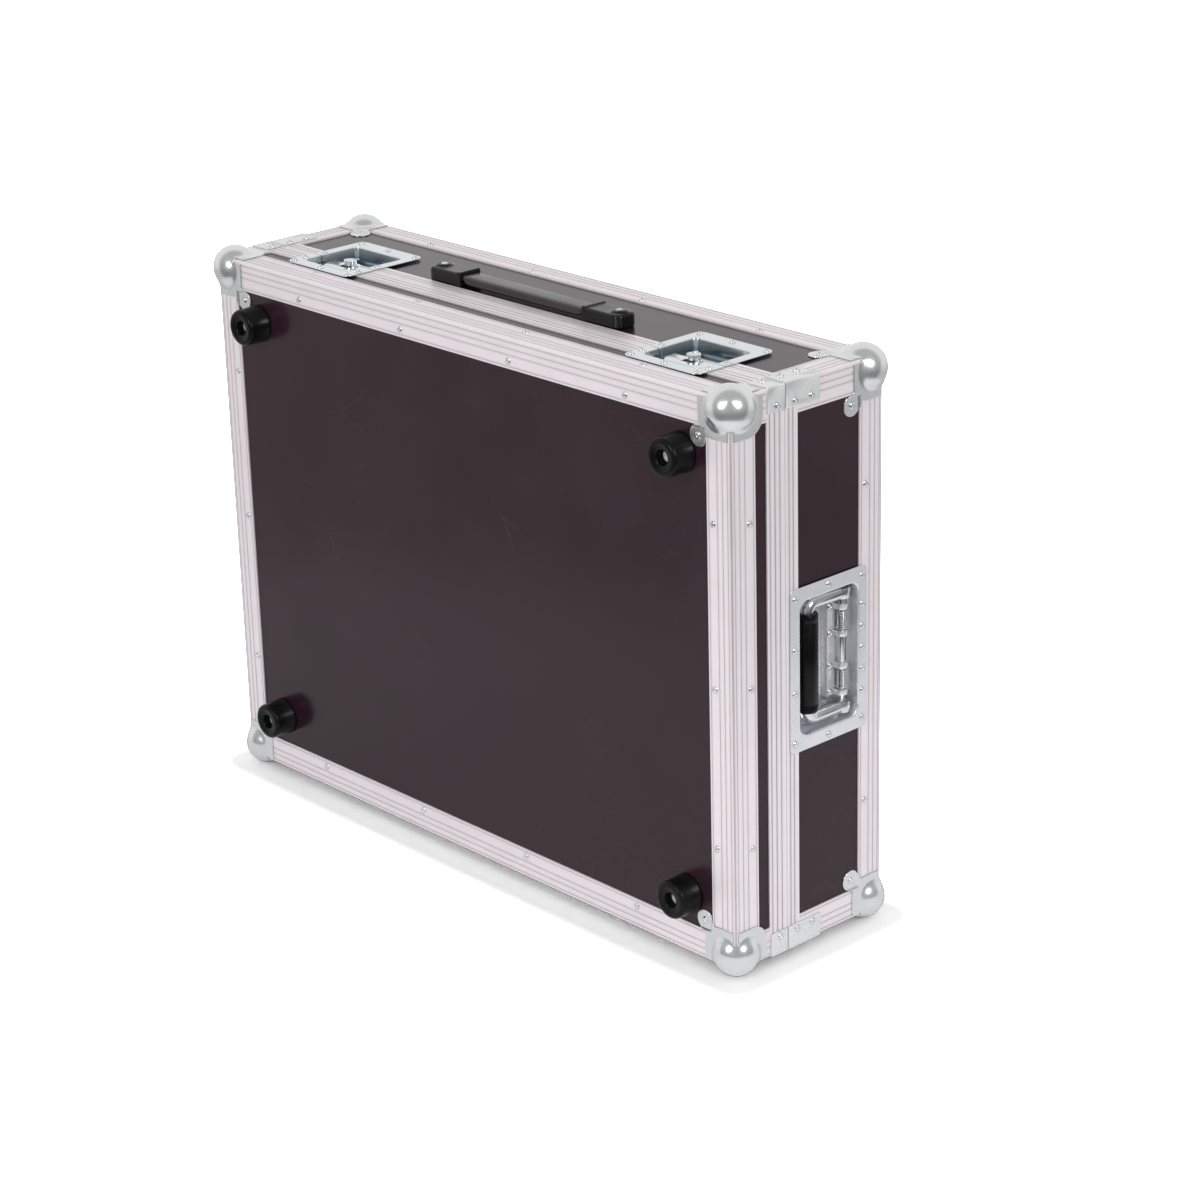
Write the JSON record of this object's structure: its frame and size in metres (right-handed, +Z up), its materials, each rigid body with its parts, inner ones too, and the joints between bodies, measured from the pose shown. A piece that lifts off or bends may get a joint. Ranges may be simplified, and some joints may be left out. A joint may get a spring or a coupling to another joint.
{
  "type": "flight case",
  "caption": "Flat flight case of film-faced plywood in fluted aluminium edges, with ball corners, recessed butterfly latches, sprung side handles, a carry strap and rubber feet.",
  "frame": {"origin": "on the floor under the middle of the closed case, halfway between the faces of the rubber feet and the backs of the rear ball corners", "axes": "+X along the long side to the viewer's right, +Y from the rubber feet through the case to the back of the lid, +Z up from the hinged side to the side with the latches and the carry handle"},
  "size_m": [0.7504, 0.2262, 0.5722],
  "materials": {
    "panel": "dark brown phenolic film, satin",
    "profile": "extruded, satin anodised",
    "zinc_steel": "bright zinc plated",
    "rivet": "plain",
    "foot_rubber": "satin",
    "grip_rubber": "satin",
    "handle_plastic": "semi-gloss",
    "strap": "semi-gloss",
    "foam": "open-cell foam"
  },
  "bodies": {
    "tray": {"tray_base_panel": "panel", "tray_top_wall": "panel", "tray_bottom_wall": "panel", "tray_side_walls": "panel", "tray_long_edges": "profile", "tray_short_edges": "profile", "tray_corner_edges": "profile", "tray_closing_long": "profile", "tray_closing_short": "profile", "tray_ball_corners": "zinc_steel", "tray_corner_braces": "zinc_steel", "tray_rivets": "rivet", "rubber_feet": "foot_rubber", "foot_washers": "zinc_steel", "foot_screws": "zinc_steel", "latch_keepers": "zinc_steel", "tray_hinge_leaves": "zinc_steel", "hinge_pins": "zinc_steel", "tray_foam": "foam"},
    "lid": {"lid_back_panel": "panel", "lid_top_wall": "panel", "lid_bottom_wall": "panel", "lid_side_walls": "panel", "lid_long_edges": "profile", "lid_short_edges": "profile", "lid_corner_edges": "profile", "lid_closing_long": "profile", "lid_closing_short": "profile", "lid_ball_corners": "zinc_steel", "lid_corner_braces": "zinc_steel", "lid_rivets": "rivet", "latch_dishes": "zinc_steel", "latch_pivots": "zinc_steel", "lid_hinge_leaves": "zinc_steel", "carry_handle_caps": "handle_plastic", "carry_handle_screws": "zinc_steel", "carry_strap_tails": "strap", "side_handle_dishes": "zinc_steel", "side_handle_rods": "zinc_steel", "side_handle_brackets": "zinc_steel", "side_handle_springs": "zinc_steel", "lid_foam": "foam"},
    "carry_strap": {"carry_strap": "strap"},
    "latch_rotor_right": {"latch_rotor_right": "zinc_steel"},
    "latch_hook_right": {"latch_hook_right": "zinc_steel"},
    "latch_wing_right": {"latch_wing_right": "zinc_steel"},
    "side_bail_right": {"side_handle_bail_right": "zinc_steel", "side_handle_grip_right": "grip_rubber"},
    "latch_rotor_left": {"latch_rotor_left": "zinc_steel"},
    "latch_hook_left": {"latch_hook_left": "zinc_steel"},
    "latch_wing_left": {"latch_wing_left": "zinc_steel"},
    "side_bail_left": {"side_handle_bail_left": "zinc_steel", "side_handle_grip_left": "grip_rubber"}
  },
  "joints": [
    {"name": "lid_hinge", "type": "hinge", "parent": "tray", "child": "lid", "pos_m": [0, -0.0227, 0.0053], "axis": [-1, 0, 0], "range_deg": [0, 100]},
    {"name": "carry_strap_lift", "type": "slide", "parent": "lid", "child": "carry_strap", "axis": [0, 0, 1], "range_m": [0, 0.018]},
    {"name": "latch_turn_right", "type": "hinge", "parent": "lid", "child": "latch_rotor_right", "pos_m": [0.245, -0.0145, 0.5487], "axis": [0, 0, 1], "range_deg": [0, 180]},
    {"name": "latch_pull_right", "type": "slide", "parent": "lid", "child": "latch_hook_right", "axis": [0, -1, 0], "range_m": [0, 0.0081]},
    {"name": "latch_wing_flip_right", "type": "hinge", "parent": "latch_rotor_right", "child": "latch_wing_right", "pos_m": [0.245, -0.0145, 0.5513], "axis": [-1, 0, 0], "range_deg": [0, 90]},
    {"name": "side_handle_right", "type": "hinge", "parent": "lid", "child": "side_bail_right", "pos_m": [0.356, 0.0601, 0.2832], "axis": [0, 0, 1], "range_deg": [0, 90], "stiffness_Nm_per_rad": 0.6, "springref_deg": -17.19},
    {"name": "latch_turn_left", "type": "hinge", "parent": "lid", "child": "latch_rotor_left", "pos_m": [-0.245, -0.0145, 0.5487], "axis": [0, 0, 1], "range_deg": [0, 180]},
    {"name": "latch_pull_left", "type": "slide", "parent": "lid", "child": "latch_hook_left", "axis": [0, -1, 0], "range_m": [0, 0.0081]},
    {"name": "latch_wing_flip_left", "type": "hinge", "parent": "latch_rotor_left", "child": "latch_wing_left", "pos_m": [-0.245, -0.0145, 0.5513], "axis": [-1, 0, 0], "range_deg": [0, 90]},
    {"name": "side_handle_left", "type": "hinge", "parent": "lid", "child": "side_bail_left", "pos_m": [-0.356, 0.0601, 0.2832], "axis": [0, 0, -1], "range_deg": [0, 90], "stiffness_Nm_per_rad": 0.6, "springref_deg": -17.19}
  ],
  "couplings": [
    {"joint": "latch_pull_right", "follows": "latch_turn_right", "m_per_rad": 0.0025465},
    {"joint": "latch_pull_left", "follows": "latch_turn_left", "m_per_rad": 0.0025465}
  ]
}
